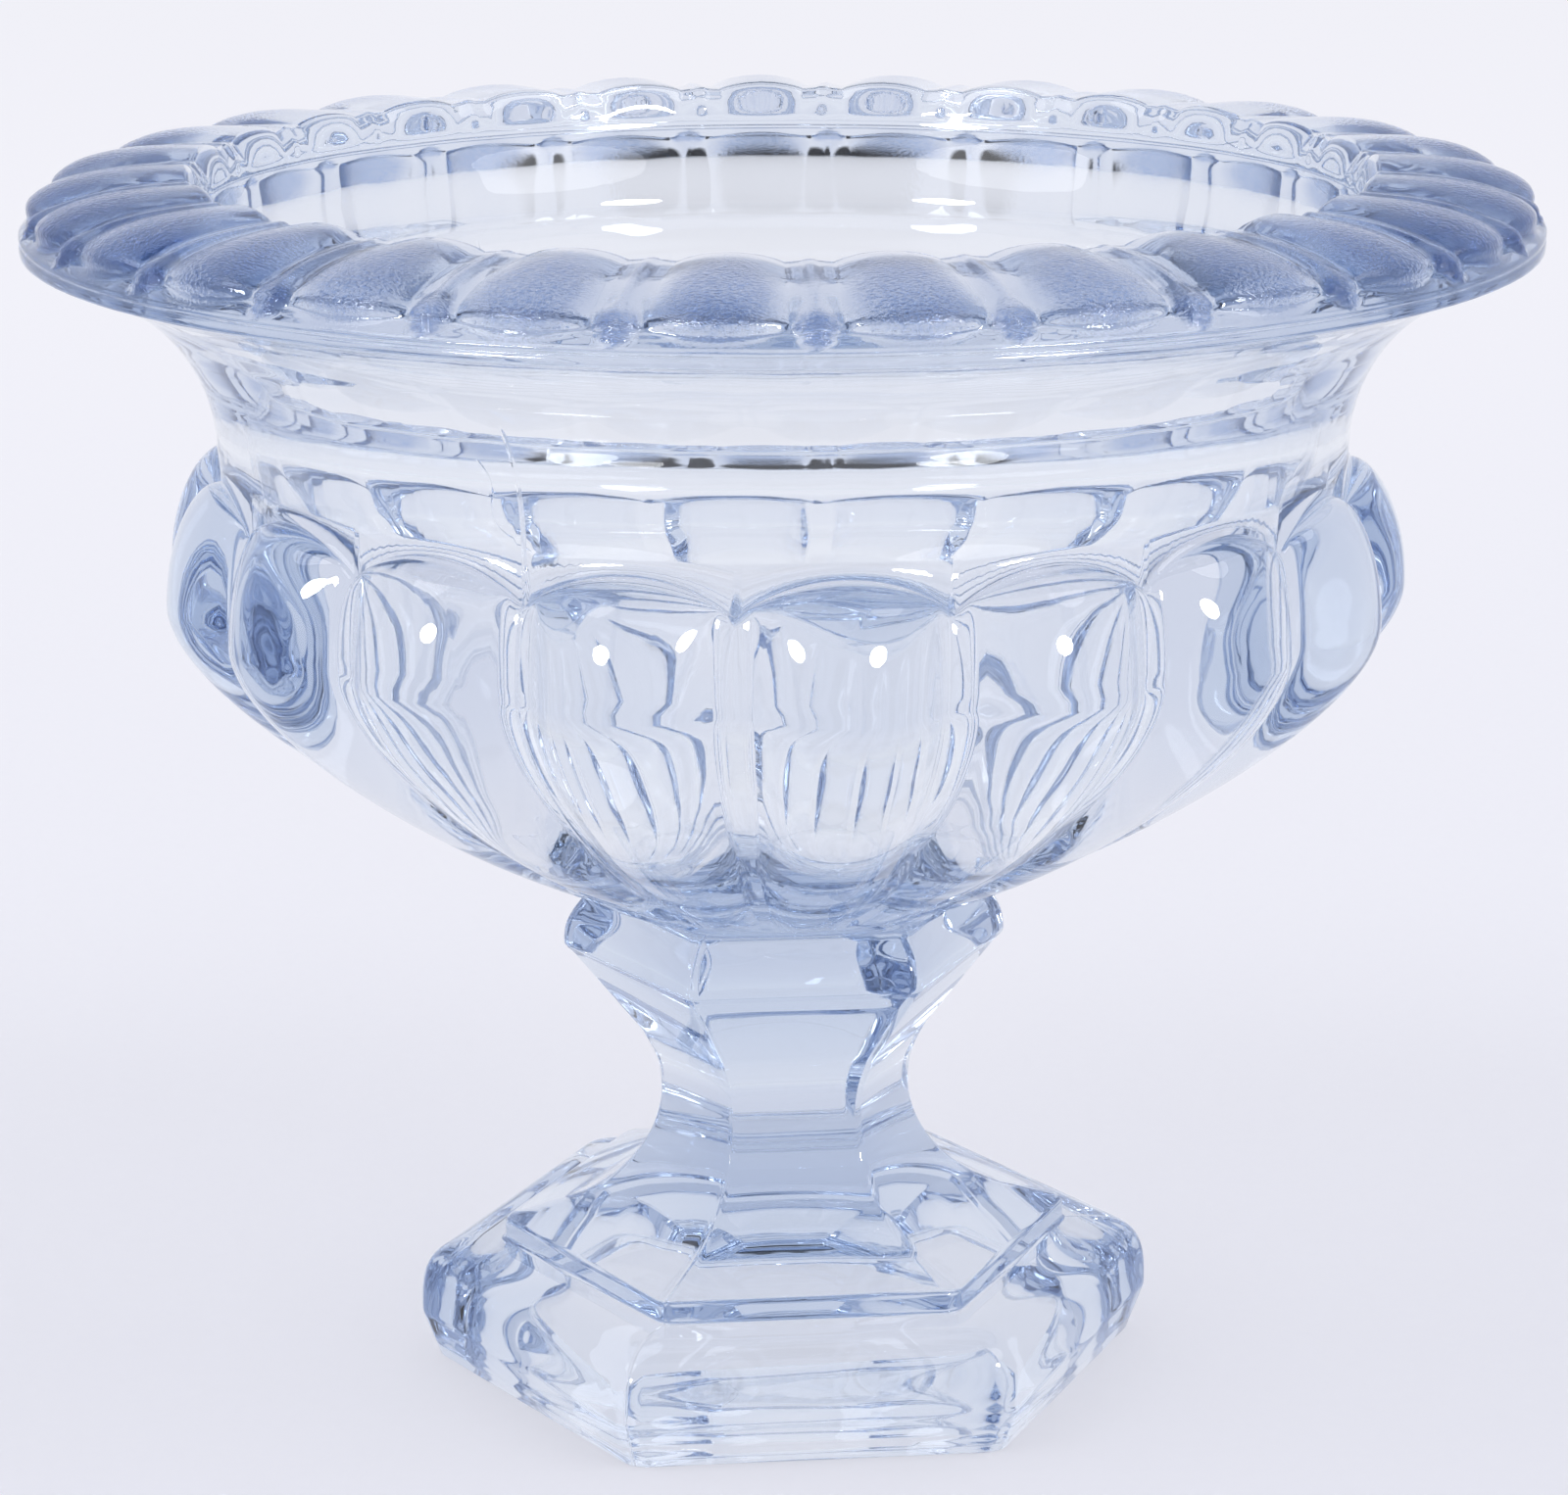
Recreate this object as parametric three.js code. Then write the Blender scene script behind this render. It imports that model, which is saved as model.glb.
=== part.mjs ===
// Footed fruit bowl in pale blue pressed glass, in millimetres, +Z up.
// The bowl and the six-sided foot are pressed apart, then joined hot with a thin wafer of glass.
// The origin is on the table under the middle of the foot. The foot's corners, the grooves between the
// bowl's lobes and the ribs of the rim all count from +X, where a seam of the three-part mould runs.
import * as THREE from "three";
import { toCreasedNormals } from "three/addons/utils/BufferGeometryUtils.js";

// Foot: radii go to the corners of the hexagon, and heights are stacked from the table up
const footSides = 6;
const footCornerRadius = 5;
const bandRadius = 63.6;
const bandHeight = 7.9;
const bandDraft = 3;
const shoulderWidth = 14.8;
const shoulderHeight = 12.5;
const stepHeight = 3.7;
const terraceWidth = 8.7;
const terraceRise = 2.5;
const waistRadius = 21.4;
const stemHeight = 20.4;
const waistFlare = 3.3;
const waistHeight = 10.3;
const knopRadius = 37.9;
const knopRound = 1.6;
const knopFlareHeight = 16.4;
const knopTopInset = 4;
const knopTopHeight = 8.2;
const footRingWidth = 8;
const hollowDepth = 17;

// Wafer that joins the foot and the bowl
const waferRadius = 26;
const waferBulge = 0.8;
const waferThickness = 1.5;

// Bowl: a belly of convex lobes under a plain neck, with heights stacked from the wafer up
const lobeCount = 18;
const seatRadius = 31.5;
const flankHeight = 53.4;
const neckRadius = 92.7;
const neckHeight = 2.5;
const lobeProud = 9.9;
const lobeTopHeight = 20.2;
const lobeArchRise = 5.7;
const grooveDepth = 7;
const grooveDepthAtSeat = 1.2;
const grooveWidth = 5.2;
const neckWall = 5.1;
const innerDraft = 2.6;
const floorThickness = 9.2;

// Rim: a flange that rolls outwards, with broad gadroons between narrow teardrop ribs
const gadroonCount = 27;
const rimRadius = 123;
const flangeRise = 34.2;
const rimEdgeHeight = 2.6;
const rimRollWidth = 26.3;
const rimRollHeight = 9.6;
const lipRollWidth = 2.8;
const lipRollHeight = 5.7;
const mouthFlareHeight = 13.7;
const valleyWidth = 7;
const valleyDepth = 2.9;
const tearWidth = 6.3;
const tearHeight = 1.9;

// Radii and levels that follow from them
const fullTurn = 2 * Math.PI;
const quarterTurn = Math.PI / 2;
const hexagonHalf = Math.PI / footSides;
const baseRadius = bandRadius - bandDraft;
const stepRadius = bandRadius - shoulderWidth;
const terraceRadius = stepRadius - terraceWidth;
const knopNeckRadius = waistRadius + waistFlare;
const hollowRadius = baseRadius * Math.cos(hexagonHalf) - footRingWidth;
const lobeRadius = neckRadius + lobeProud;
const innerNeckRadius = neckRadius - neckWall;
const innerBellyRadius = innerNeckRadius - innerDraft;
const crestRadius = rimRadius - rimRollWidth;
const lipRadius = crestRadius - lipRollWidth;

const shoulderTop = bandHeight + shoulderHeight;
const stepTop = shoulderTop + stepHeight;
const terraceTop = stepTop + terraceRise;
const waistLevel = terraceTop + stemHeight;
const knopNeckLevel = waistLevel + waistHeight;
const knopLevel = knopNeckLevel + knopFlareHeight;
const footTop = knopLevel + knopTopHeight;
const bowlBase = footTop + waferThickness;
const floorLevel = bowlBase + floorThickness;
const bellyLevel = bowlBase + flankHeight;
const archTop = bellyLevel + lobeTopHeight;
const neckLevel = archTop + neckHeight;
const flangeLevel = neckLevel + flangeRise;
const rimEdgeTop = flangeLevel + rimEdgeHeight;
const crestLevel = rimEdgeTop + rimRollHeight;
const lipLevel = crestLevel - lipRollHeight;

// Profiles: a profile point is (radius, height)
const point = (radius, height) => new THREE.Vector2(radius, height);

const steps = (count) => Array.from({ length: count + 1 }, (_, i) => i / count);

// A curve between two points. It leaves the first and reaches the second along handles that are given as
// shares of the way across and up, so the curve keeps its character when the ends move.
function sweep(start, end, leave, arrive) {
  const span = end.clone().sub(start);
  const startHandle = start.clone().add(point(leave[0], leave[1]).multiply(span));
  const endHandle = end.clone().sub(point(arrive[0], arrive[1]).multiply(span));
  return new THREE.CubicBezierCurve(start, startHandle, endHandle, end);
}

// A quarter of an ellipse from its side (share 0) to its top (share 1). A fullness over 1 squares it up.
function quarterArc(centre, width, height, share, fullness = 1) {
  const side = Math.cos(share * quarterTurn) ** (1 / fullness);
  const up = Math.sin(share * quarterTurn) ** (1 / fullness);
  return point(centre.x + width * side, centre.y + height * up);
}

// How far a rounded ridge has fallen: 0 on its top, 1 at its edge
const roundedFall = (share) => 1 - Math.sqrt(Math.max(0, 1 - share * share));

// The same for an arc of a circle, whose radius is roundTo times half its width
const arcFall = (share, roundTo) => roundedFall(share / roundTo) / roundedFall(1 / roundTo);

// A value between the ones that are listed at rising turns
function between(turn, turns, values) {
  const next = Math.max(1, turns.findIndex((listed) => listed >= turn));
  return THREE.MathUtils.mapLinear(turn, turns[next - 1], turns[next], values[next - 1], values[next]);
}

// Places across half a ridge, from its edge (0) to its top (1), close together where it is steep
const ridgePlaces = (count) => steps(count).map((share) => 1 - Math.cos(share * quarterTurn));

// Rings: a ring is a list of points round the axis, in order of their angles
function ring(angles, profileAt) {
  return angles.map((angle) => {
    const p = profileAt(angle);
    return { angle, at: new THREE.Vector3(p.x * Math.cos(angle), p.x * Math.sin(angle), p.y) };
  });
}

const evenAngles = (count) => Array.from({ length: count }, (_, i) => (i * fullTurn) / count);

// A pattern's angles: half a period from 0 to 1, mirrored and repeated round the axis
function patternAngles(count, halfPlaces) {
  const there = halfPlaces.map((place) => place / 2);
  const back = halfPlaces.slice(1, -1).reverse().map((place) => 1 - place / 2);
  const period = [...there, ...back];
  const starts = Array.from({ length: count }, (_, i) => i);
  return starts.flatMap((start) => period.map((share) => ((start + share) * fullTurn) / count));
}

// Where an angle lies in its pattern: 0 at a period's start, 1 in its middle
function patternPlace(angle, count) {
  const share = ((((angle * count) / fullTurn) % 1) + 1) % 1;
  return Math.min(share, 1 - share) * 2;
}

// A width round the rim or the belly as a share of one period
const widthShare = (width, radius, count) => (width * count) / (fullTurn * radius);

// Skins a stack of rings, whose counts may differ, and closes both ends with a fan to the axis.
// The rings run from the underside outwards, up and back to the axis, so the faces point out.
function loft(rings, firstHeight, lastHeight) {
  const positions = [];
  const indices = [];
  const starts = rings.map((points) => {
    const start = positions.length / 3;
    points.forEach(({ at }) => positions.push(at.x, at.y, at.z));
    return start;
  });
  const firstPole = positions.push(0, 0, firstHeight) / 3 - 1;
  const lastPole = positions.push(0, 0, lastHeight) / 3 - 1;

  const angleAt = (points, i) => (i < points.length ? points[i].angle : fullTurn + points[0].angle);
  for (let k = 0; k + 1 < rings.length; k += 1) {
    const [low, high] = [rings[k], rings[k + 1]];
    let i = 0;
    let j = 0;
    while (i < low.length || j < high.length) {
      const a = starts[k] + (i % low.length);
      const b = starts[k + 1] + (j % high.length);
      const middleLow = angleAt(low, i) + angleAt(low, i + 1);
      const middleHigh = angleAt(high, j) + angleAt(high, j + 1);
      if (j >= high.length || (i < low.length && middleLow <= middleHigh)) {
        i += 1;
        indices.push(a, starts[k] + (i % low.length), b);
      } else {
        j += 1;
        indices.push(a, starts[k + 1] + (j % high.length), b);
      }
    }
  }
  const [bottom, top] = [rings[0], rings.at(-1)];
  const topStart = starts.at(-1);
  bottom.forEach((_, i) => indices.push(firstPole, (i + 1) % bottom.length, i));
  top.forEach((_, i) => indices.push(lastPole, topStart + i, topStart + ((i + 1) % top.length)));

  const geometry = new THREE.BufferGeometry();
  geometry.setAttribute("position", new THREE.Float32BufferAttribute(positions, 3));
  geometry.setIndex(indices);
  return geometry;
}

// Foot: a hexagon at every level of one profile, over a domed hollow. Its softened corners shrink with it,
// so the radius that is set is the one at the band.
function hexagonRing(cornerRadius, height) {
  const soft = footCornerRadius * (cornerRadius / bandRadius);
  const arcCentre = cornerRadius - soft / Math.cos(hexagonHalf);
  const points = evenAngles(footSides).flatMap((corner) =>
    steps(4).map((share) => {
      const turn = corner + (2 * share - 1) * hexagonHalf;
      const x = arcCentre * Math.cos(corner) + soft * Math.cos(turn);
      const y = arcCentre * Math.sin(corner) + soft * Math.sin(turn);
      const angle = (Math.atan2(y, x) + fullTurn) % fullTurn;
      return { angle, at: new THREE.Vector3(x, y, height) };
    }),
  );
  return points.sort((a, b) => a.angle - b.angle);
}

function footProfile() {
  const shoulderFoot = point(stepRadius, bandHeight);
  const shoulder = steps(6).map((share) => quarterArc(shoulderFoot, shoulderWidth, shoulderHeight, share, 1.7));
  const waistSide = point(waistRadius, waistLevel);
  const stem = sweep(point(terraceRadius, terraceTop), waistSide, [0.5, 0.1], [0, 0.5]);
  const waist = sweep(waistSide, point(knopNeckRadius, knopNeckLevel), [0, 0.5], [0.5, 0.3]);
  const knopSide = point(knopRadius, knopLevel);
  const flareSlope = knopFlareHeight / (knopRadius - knopNeckRadius);
  const flareEnd = point(knopRadius - knopRound, knopLevel - knopRound * flareSlope * 1.1);
  const knopEdge = sweep(flareEnd, knopSide, [0.6, 0.5], [0, 0.5]);
  const knopTop = sweep(knopSide, point(knopRadius - knopTopInset, footTop), [0, 0.45], [0.6, 0.35]);
  return [
    point(baseRadius, 0),
    ...shoulder,
    point(stepRadius, stepTop),
    ...stem.getPoints(8),
    ...waist.getPoints(3).slice(1),
    ...knopEdge.getPoints(2),
    ...knopTop.getPoints(4).slice(1),
  ];
}

function footGeometry() {
  const round = evenAngles(36);
  const domeShares = steps(4).reverse().slice(1);
  const hollow = domeShares.map((share) =>
    ring(round, () => quarterArc(point(0, 0), hollowRadius, hollowDepth, share)),
  );
  const skin = footProfile().map((p) => hexagonRing(p.x, p.y));
  return loft([...hollow, ...skin], hollowDepth, footTop);
}

// Wafer: a thin round disc with a bulged edge
function waferGeometry() {
  const edge = steps(4).map((share) =>
    point(waferRadius + waferBulge * Math.sin(share * Math.PI), footTop + waferThickness * share),
  );
  const disc = new THREE.LatheGeometry([point(0, footTop), ...edge, point(0, bowlBase)], 48);
  return disc.rotateX(quarterTurn);
}

// Belly: convex lobes with flat narrow grooves between them, each lobe topped by an arch on the neck
const grooveShare = widthShare(grooveWidth, lobeRadius, lobeCount);
const lobePlaces = [0, ...steps(3).map((share) => grooveShare + (1 - grooveShare) * share)];
const flank = sweep(point(seatRadius, bowlBase), point(lobeRadius, bellyLevel), [0.425, 0.209], [0, 0.264]);

// A lobe's section is an arc of a circle, whose radius follows from the lobe's half width and its depth
const lobeHalfWidth = ((1 - grooveShare) * Math.PI * lobeRadius) / lobeCount;
const lobeSwell = grooveDepth / lobeHalfWidth;
const lobeArcRadius = (1 + lobeSwell ** 2) / (2 * lobeSwell);

// How far the surface falls from a lobe's middle line: 0 there, 1 along the groove
function lobeFall(angle) {
  const inLobe = (patternPlace(angle, lobeCount) - grooveShare) / (1 - grooveShare);
  return inLobe <= 0 ? 1 : arcFall(1 - inLobe, lobeArcRadius);
}

const archLevel = (angle) => archTop - lobeArchRise * arcFall(1 - patternPlace(angle, lobeCount), 1.6);

// The lower part of the belly, from the seat on the wafer (share 0) to the widest level (share 1)
function flankPoint(share, angle) {
  const p = flank.getPoint(share);
  const along = flank.getTangent(share);
  const deepening = share ** 3 * (4 - 3 * share);
  const depth = share === 0 ? 0 : THREE.MathUtils.lerp(grooveDepthAtSeat, grooveDepth, deepening);
  const fall = depth * lobeFall(angle);
  return point(p.x - fall * along.y, p.y + fall * along.x);
}

// The upper part of the belly, from the widest level (share 0) to the arch on the neck (share 1)
function lobeTopPoint(share, angle) {
  const proud = lobeProud - grooveDepth * lobeFall(angle);
  const radius = neckRadius + proud * Math.cos(share * quarterTurn) ** 0.45;
  return point(radius, THREE.MathUtils.lerp(bellyLevel, archLevel(angle), share));
}

// Rim: egg-shaped gadroons run over the roll, with a teardrop between each two, which has a round bulb at
// the edge and a tail over the crest. The turn is 0 at the outer edge, 1 on the crest and 2 on the lip.
const tearTurns = [0, 0.2, 0.5, 1, 2];
const tearWidths = [0.95, 1, 0.35, 0.45, 0.35].map((share) => share * tearWidth);
const tearHeights = [1, 1, 0.5, 0.26, 0.15].map((share) => share * tearHeight);
const valleyTurns = [0, 0.03, 0.1, 0.45, 1, 1.5, 2];
const valleyDepths = [0, 0.4, 0.9, 1, 0.52, 0.35, 0].map((share) => share * valleyDepth);
const eggRound = 0.3;
const tearRound = 0.2;

// The smooth roll under the pattern
function rollPoint(turn) {
  const outside = turn <= 1;
  const share = outside ? turn : 2 - turn;
  const width = outside ? rimRollWidth : -lipRollWidth;
  const height = outside ? rimRollHeight : lipRollHeight;
  return quarterArc(point(crestRadius, crestLevel - height), width, height, share, outside ? 1.3 : 1);
}

const valleyShare = (turn) => widthShare(valleyWidth, rollPoint(turn).x, gadroonCount);
const tearShare = (turn) =>
  widthShare(between(turn, tearTurns, tearWidths), rollPoint(turn).x, gadroonCount);

function gadroonPlaces(turn) {
  const valley = valleyShare(turn);
  return [0, tearShare(turn) * 0.7, ...ridgePlaces(2).map((place) => valley + (1 - valley) * place)];
}

// A ridge ends in a round nose at the edge: 1 there, 0 where the ridge has its full width
const nose = (turn, full) => Math.max(0, 1 - turn / full);

// How far the surface falls from a gadroon's crown: 0 there, deepest in the valleys beside the teardrops
function gadroonFall(turn, angle) {
  const place = patternPlace(angle, gadroonCount);
  const valley = between(turn, valleyTurns, valleyDepths);
  const egg = Math.min(1, Math.hypot((1 - place) / (1 - valleyShare(turn)), nose(turn, eggRound)));
  const drop = Math.min(1, Math.hypot(place / tearShare(turn), nose(turn, tearRound)));
  const eggHeight = valley * (1 - arcFall(egg, 1.3));
  const dropHeight = Math.min(valley, between(turn, tearTurns, tearHeights)) * (1 - roundedFall(drop));
  return valley - Math.max(eggHeight, dropHeight);
}

function rimPoint(turn, angle) {
  const share = turn <= 1 ? turn : 2 - turn;
  const width = turn <= 1 ? rimRollWidth : -lipRollWidth;
  const p = rollPoint(turn);
  const fall = gadroonFall(turn, angle);
  const tilt = share * quarterTurn;
  return point(p.x - fall * Math.cos(tilt) * Math.sign(width), p.y - fall * Math.sin(tilt));
}

function bowlGeometry() {
  const smooth = evenAngles(72);
  const lobed = patternAngles(lobeCount, lobePlaces);
  const belly = [
    ...[0, 0.1, 0.25, 0.4, 0.55, 0.7, 0.85, 1].map((share) => ring(lobed, (a) => flankPoint(share, a))),
    ...[0.4, 0.75, 1].map((share) => ring(lobed, (a) => lobeTopPoint(share, a))),
  ];
  const neck = sweep(point(neckRadius, neckLevel), point(rimRadius, flangeLevel), [0, 0.533], [0.557, 0.133]);
  const underFlange = neck.getPoints(6).map((p) => ring(smooth, () => p));
  const rim = [0, 0.06, 0.14, 0.23, 0.34, 0.5, 0.75, 1, 1.35, 1.7, 2].map((turn) =>
    ring(patternAngles(gadroonCount, gadroonPlaces(turn)), (a) => rimPoint(turn, a)),
  );
  const innerNeck = point(innerNeckRadius, lipLevel - mouthFlareHeight);
  const innerBelly = point(innerBellyRadius, bellyLevel);
  const mouth = sweep(point(lipRadius, lipLevel), innerNeck, [0, 0.4], [0.05, 0.4]);
  const cup = sweep(innerBelly, point(0, floorLevel), [0.015, 0.56], [0.6, 0]);
  const inside = [...mouth.getPoints(5).slice(1), ...cup.getPoints(7).slice(0, -1)];
  const innerRings = inside.map((p) => ring(smooth, () => p));
  return loft([...belly, ...underFlange, ...rim, ...innerRings], bowlBase, floorLevel);
}

// Glass: pale blue and clear, bright where it was fire-polished
function piece(name, geometry, colour) {
  const material = new THREE.MeshStandardMaterial({ color: colour, roughness: 0.05, metalness: 0 });
  const mesh = new THREE.Mesh(toCreasedNormals(geometry, Math.PI / 5), material);
  mesh.name = name;
  return mesh;
}

const fruitBowl = new THREE.Group();
fruitBowl.add(
  piece("bowl", bowlGeometry(), "#b9cbe8"),
  piece("joining_wafer", waferGeometry(), "#c4d3ec"),
  piece("pedestal_foot", footGeometry(), "#bccdea"),
);

export default fruitBowl;
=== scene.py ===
# %% [markdown]
# # A footed fruit bowl in pale blue pressed glass
# The bowl and its six-sided foot are two pressings of glass that were joined while hot. This lesson starts
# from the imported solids, gives each of them a smooth glass skin of the same shape, and lights it as a small
# studio does. A skin of its own is worth the work, because clear glass shows every facet of a plain solid.

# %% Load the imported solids
import math
import bpy
import numpy as np
from mathutils import Matrix, Vector


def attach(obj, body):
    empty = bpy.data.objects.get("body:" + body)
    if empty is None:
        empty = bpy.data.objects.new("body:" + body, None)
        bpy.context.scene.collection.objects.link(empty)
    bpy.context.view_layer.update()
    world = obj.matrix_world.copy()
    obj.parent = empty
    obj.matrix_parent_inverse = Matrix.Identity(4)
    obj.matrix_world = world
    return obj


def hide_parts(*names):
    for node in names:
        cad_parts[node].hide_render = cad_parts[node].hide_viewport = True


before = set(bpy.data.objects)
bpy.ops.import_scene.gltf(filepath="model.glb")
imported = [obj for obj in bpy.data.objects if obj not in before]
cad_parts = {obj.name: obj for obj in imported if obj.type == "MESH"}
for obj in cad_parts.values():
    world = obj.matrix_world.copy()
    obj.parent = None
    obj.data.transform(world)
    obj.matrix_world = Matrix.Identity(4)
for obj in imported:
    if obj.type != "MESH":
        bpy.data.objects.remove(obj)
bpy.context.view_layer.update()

MM = 0.001


# %% [markdown]
# ## Camera
# The photograph was taken from the front, a little above the rim, with a long lens. A camera fitted to the
# rim, its crest and the steps of the foot gives the distance, the height and the tilt. A pressed bowl has no
# true front, so the small turn of the foot against the camera is given to the camera, and the object stays
# square in its frame.

# %% The camera at the photograph's angle
focal_pixels, photo_width = 4793.3, 1600
camera_distance, camera_height = 760.8, 314.6
camera_tilt, camera_roll, foot_turn = (math.radians(angle) for angle in (15.317, -0.172, 5.6))
sensor_width, sight_end = 36, 50

right = Vector((1, 0, 0))
looking = Vector((0, math.cos(camera_tilt), -math.sin(camera_tilt)))
upwards = Vector((0, math.sin(camera_tilt), math.cos(camera_tilt)))
sideways = right * math.cos(camera_roll) + upwards * math.sin(camera_roll)
upwards = upwards * math.cos(camera_roll) - right * math.sin(camera_roll)
camera_axes = Matrix((sideways, upwards, -looking)).transposed().to_4x4()

scene = bpy.context.scene
camera = bpy.data.objects.new("photo_camera", bpy.data.cameras.new("photo_camera"))
camera.data.sensor_width = sensor_width
camera.data.lens = sensor_width * focal_pixels / photo_width
camera.data.clip_end = sight_end
place = Matrix.Translation(Vector((0, -camera_distance, camera_height)) * MM) @ camera_axes
camera.matrix_world = Matrix.Rotation(-foot_turn, 4, "Z") @ place
scene.collection.objects.link(camera)
scene.camera = camera
scene.view_settings.view_transform = "Standard"
print("lens", round(camera.data.lens, 1), "mm, camera at",
      [round(v, 3) for v in camera.matrix_world.translation])

# %% [markdown]
# ## Profiles
# A presser draws a piece of glass as half a section: a line from the axis out, up and back to the axis. A few
# small functions draw every part of that line, in millimetres and on whole lists of points at once. Curve
# objects could draw it too, but plain numbers are easily held against the sizes of the solids.

# %% The curves of a section
def steps(count):
    """Even shares from 0 to 1."""
    return np.linspace(0.0, 1.0, count + 1)


def mix(a, b, share):
    """What lies a share of the way from a to b."""
    return a + (b - a) * share


def sweep(start, end, leave, arrive, shares):
    """Points of a curve whose two handles are shares of the way across and up."""
    start, end = np.array(start, float), np.array(end, float)
    first, last = start + np.array(leave) * (end - start), end - np.array(arrive) * (end - start)
    t = np.asarray(shares)[:, None]
    return (1 - t) ** 3 * start + 3 * t * (1 - t) ** 2 * first + 3 * t * t * (1 - t) * last + t ** 3 * end


def quarter_arc(share, fullness):
    """Side and top shares of a quarter of an ellipse. A fullness over 1 squares it up."""
    angle = np.asarray(share) * math.pi / 2
    return np.cos(angle).clip(0) ** (1 / fullness), np.sin(angle).clip(0) ** (1 / fullness)


def rounded_fall(share):
    """How far a rounded ridge has fallen: 0 on its top, 1 at its edge."""
    return 1 - np.sqrt(np.maximum(0, 1 - np.asarray(share) ** 2))


def arc_fall(share, round_to):
    """The same for an arc of a circle, whose radius is round_to times half its width."""
    return rounded_fall(share / round_to) / rounded_fall(1 / round_to)


print("half way round a quarter circle:", np.round(quarter_arc(0.5, 1.0), 3))

# %% [markdown]
# ## Sizes
# On the real object these sizes were cut into the moulds. They are those of the solids, in millimetres and with
# the same names, so each can be looked up in both. The skin follows them apart from fine edges and the start of
# the flare inside the mouth, because the solids carry the weight and the contact.

# %% Sizes of the foot
foot_sides, foot_corner = 6, 5.0
band_radius, band_height, band_draft = 63.6, 7.9, 3.0
shoulder_width, shoulder_height, step_height = 14.8, 12.5, 3.7
terrace_width, terrace_rise = 8.7, 2.5
waist_radius, stem_height, waist_flare, waist_height = 21.4, 20.4, 3.3, 10.3
knop_radius, knop_round, knop_flare_height = 37.9, 1.6, 16.4
knop_top_inset, knop_top_height = 4.0, 8.2
foot_ring_width, hollow_depth = 8.0, 17.0
wafer_radius, wafer_bulge, wafer_thickness = 26.0, 0.8, 1.5

base_radius = band_radius - band_draft
step_radius = band_radius - shoulder_width
terrace_radius = step_radius - terrace_width
knop_neck_radius = waist_radius + waist_flare
hollow_radius = base_radius * math.cos(math.pi / foot_sides) - foot_ring_width
shoulder_top = band_height + shoulder_height
step_top = shoulder_top + step_height
terrace_top = step_top + terrace_rise
waist_level = terrace_top + stem_height
knop_neck_level = waist_level + waist_height
knop_level = knop_neck_level + knop_flare_height
foot_top = knop_level + knop_top_height
bowl_base = foot_top + wafer_thickness
print("foot top at", round(foot_top, 1), "mm, bowl base at", round(bowl_base, 1), "mm")

# %% Sizes of the bowl
lobe_count, seat_radius, flank_height = 18, 31.5, 53.4
neck_radius, neck_height, lobe_proud, lobe_top_height = 92.7, 2.5, 9.9, 20.2
lobe_arch_rise, groove_depth, groove_depth_at_seat, groove_width = 5.7, 7.0, 1.2, 5.2
neck_wall, inner_draft, floor_thickness = 5.1, 2.6, 9.2
gadroon_count, rim_radius, flange_rise, rim_edge_height = 27, 123.0, 34.2, 2.6
rim_roll_width, rim_roll_height, lip_roll_width, lip_roll_height = 26.3, 9.6, 2.8, 5.7
mouth_flare_height, valley_width, valley_depth, tear_width, tear_height = 13.7, 7.0, 2.9, 6.3, 1.9

lobe_radius = neck_radius + lobe_proud
inner_neck_radius = neck_radius - neck_wall
inner_belly_radius = inner_neck_radius - inner_draft
crest_radius = rim_radius - rim_roll_width
lip_radius = crest_radius - lip_roll_width
floor_level = bowl_base + floor_thickness
belly_level = bowl_base + flank_height
arch_top = belly_level + lobe_top_height
neck_level = arch_top + neck_height
flange_level = neck_level + flange_rise
rim_edge_top = flange_level + rim_edge_height
crest_level = rim_edge_top + rim_roll_height
lip_level = crest_level - lip_roll_height
print("rim crest at", round(crest_level, 1), "mm, rim", 2 * rim_radius, "mm across")

# %% [markdown]
# ## One share of the bowl
# The belly has 18 lobes and the rim has 27 gadroons, so both patterns start again every 40 degrees: 2 lobes
# and 3 gadroons make one share, and 9 shares make the bowl. One share is a net of columns round the axis and
# rows along the section. Its columns crowd together at the grooves of the belly, and slide over to the
# teardrops of the rim on the plain neck between them. The mould has every lobe alike, so drawing one share and
# repeating it is enough.

# %% Columns of one share
bowl_shares = 9


def pattern_angles(count, half_places):
    """Angles of one share, from half a period's places that are mirrored and repeated."""
    period = np.concatenate([half_places, (2 - half_places[::-1])[1:]]) / 2
    shares = [start + period[:-1] for start in range(count // bowl_shares)]
    return np.append(np.concatenate(shares), count // bowl_shares) * 2 * math.pi / count


def pattern_place(angle, count):
    """0 on the line between two lobes or gadroons, 1 on the middle of one."""
    share = np.mod(angle * count / (2 * math.pi), 1.0)
    return np.minimum(share, 1 - share) * 2


groove_share = groove_width * lobe_count / (2 * math.pi * lobe_radius)
groove_columns, lobe_start, lobe_columns = np.array([0, 0.45, 0.8, 1.0, 1.25]), 1.6, 8
lobe_places = np.concatenate([groove_share * groove_columns,
                              np.linspace(lobe_start * groove_share, 1, lobe_columns)])
lobe_angles = pattern_angles(lobe_count, lobe_places)
print("columns in a share:", len(lobe_angles) - 1)

# %% [markdown]
# ## Belly
# Each lobe is a slice of a round rod, so its section is an arc of a circle, with a narrow flat channel between
# two lobes. The mould leaves no sharp inner corner, so arc and channel meet in a small fillet. Grooves could
# be cut out of a smooth bowl, but cuts leave ragged edges, so each row is drawn with its grooves in place.

# %% Rows of the belly
lobe_half_width = (1 - groove_share) * math.pi * lobe_radius / lobe_count
lobe_swell = groove_depth / lobe_half_width
lobe_arc = (1 + lobe_swell ** 2) / (2 * lobe_swell)
channel_fillet = 0.55


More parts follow.
